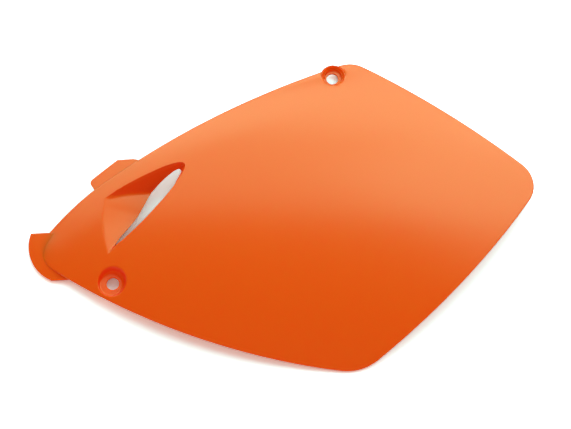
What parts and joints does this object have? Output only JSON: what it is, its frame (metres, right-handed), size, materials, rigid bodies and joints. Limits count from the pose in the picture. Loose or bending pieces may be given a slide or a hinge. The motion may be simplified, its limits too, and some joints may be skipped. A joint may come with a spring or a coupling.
{
  "type": "motorcycle side cover",
  "caption": "Curved moulded plastic side cover with a sunken slotted scoop, recessed screw cups and locating tabs.",
  "frame": {"origin": "centre of the panel's box in plan, on the plane it rests on with its outer face up", "axes": "+X from the nose tongue to the rear corner; +Z outward, away from the machine"},
  "size_m": [0.4065, 0.2625, 0.0377],
  "materials": {
    "plastic": "semi-gloss moulded orange"
  },
  "bodies": {
    "root": {"side_cover": "plastic"}
  },
  "joints": []
}
